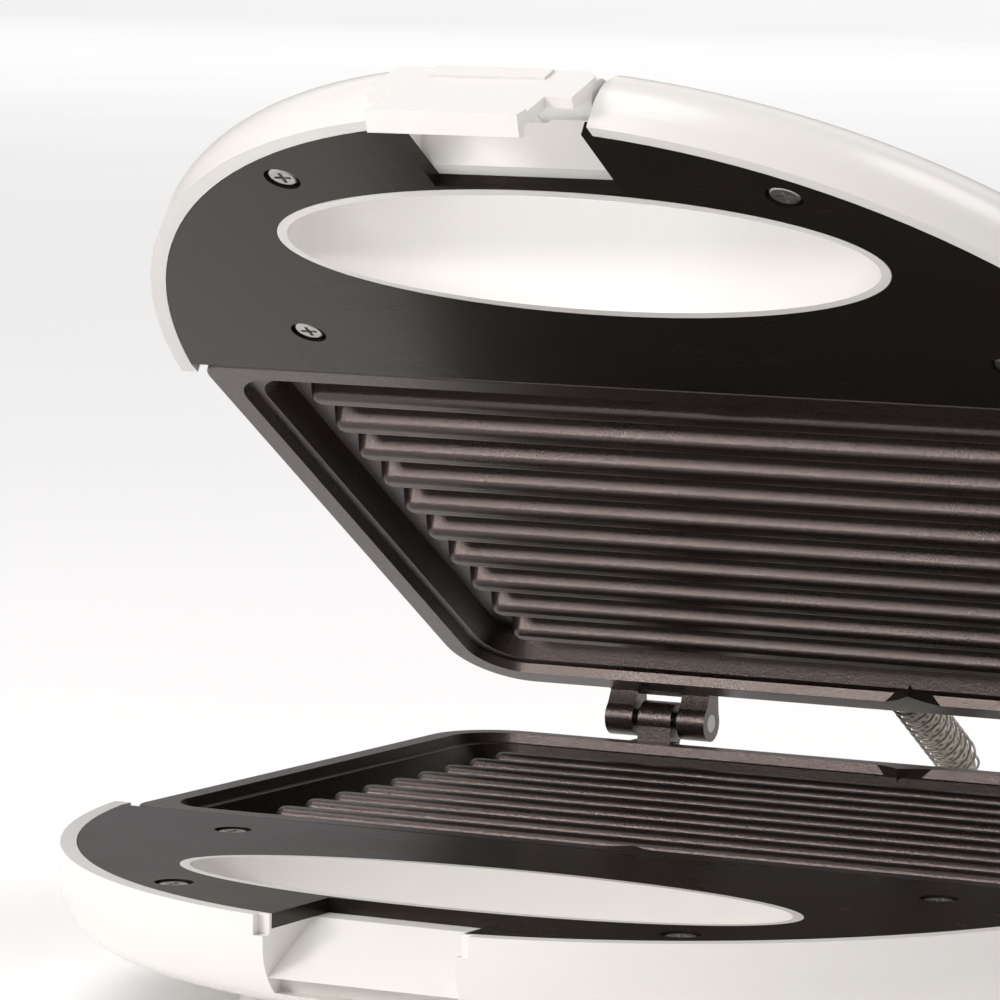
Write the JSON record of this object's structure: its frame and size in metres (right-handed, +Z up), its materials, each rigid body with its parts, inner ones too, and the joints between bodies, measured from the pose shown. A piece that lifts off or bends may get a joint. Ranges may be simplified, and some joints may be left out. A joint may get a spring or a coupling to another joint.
{
  "type": "panini press",
  "caption": "Clamshell panini press with ribbed non-stick plates, oval grip openings in lid and base, a front latch and rear hinges; lid stands open.",
  "frame": {"origin": "middle of the footprint, on the surface it stands on", "axes": "+Z up, -Y towards the user (the latch and grips), +X to the right when facing the same way as +Y"},
  "size_m": [0.2308, 0.2948, 0.1871],
  "materials": {
    "white_plastic": "glossy warm white moulded shell",
    "latch_plastic": "white moulded clip",
    "gloss_black": "glossy black moulded panel",
    "nonstick_plate": "dark brown-black non-stick coating on cast aluminium",
    "element_steel": "heater tube",
    "reflector_sheet": "bright sheet",
    "ceramic": "cream insulating body",
    "fuse_metal": "plated fuse case and leads",
    "nylon": "natural insulating plastic",
    "black_rubber": "black rubber",
    "screw_steel": "zinc-plated steel",
    "pin_steel": "steel",
    "spring_wire": "bright spring wire",
    "braided_sleeve": "beige-grey braided glass-fibre sleeve",
    "red_lens": "clear red",
    "green_lens": "clear green",
    "lamp_glass": "small glass lamp"
  },
  "bodies": {
    "base": {"base_shell": "white_plastic", "base_panel": "gloss_black", "base_plate": "nonstick_plate", "base_heating_element": "element_steel", "base_reflector": "reflector_sheet", "base_thermostat": "ceramic", "thermal_fuse": "fuse_metal", "terminal_block": "nylon", "cord_gland": "black_rubber", "base_panel_screws": "screw_steel", "base_plate_screws": "screw_steel", "rubber_feet": "black_rubber", "hinge_pins": "pin_steel", "conduit_spring": "spring_wire", "conduit_sleeve": "braided_sleeve"},
    "lid": {"lid_shell": "white_plastic", "lid_panel": "gloss_black", "lid_plate": "nonstick_plate", "lid_heating_element": "element_steel", "lid_reflector": "reflector_sheet", "lid_thermostat": "ceramic", "lid_panel_screws": "screw_steel", "lid_plate_screws": "screw_steel", "power_lens": "red_lens", "ready_lens": "green_lens", "indicator_lamps": "lamp_glass", "latch_pin": "pin_steel"},
    "latch": {"latch": "latch_plastic"}
  },
  "joints": [
    {"name": "lid_hinge", "type": "hinge", "parent": "base", "child": "lid", "pos_m": [0, 0.10692, 0.0385], "axis": [-1, 0, 0], "range_deg": [-33.9, 68], "deforming": ["conduit_spring", "conduit_sleeve"]},
    {"name": "latch_pivot", "type": "hinge", "parent": "lid", "child": "latch", "pos_m": [0, -0.09847, 0.18158], "axis": [-1, 0, 0], "range_deg": [-37, 12]}
  ]
}
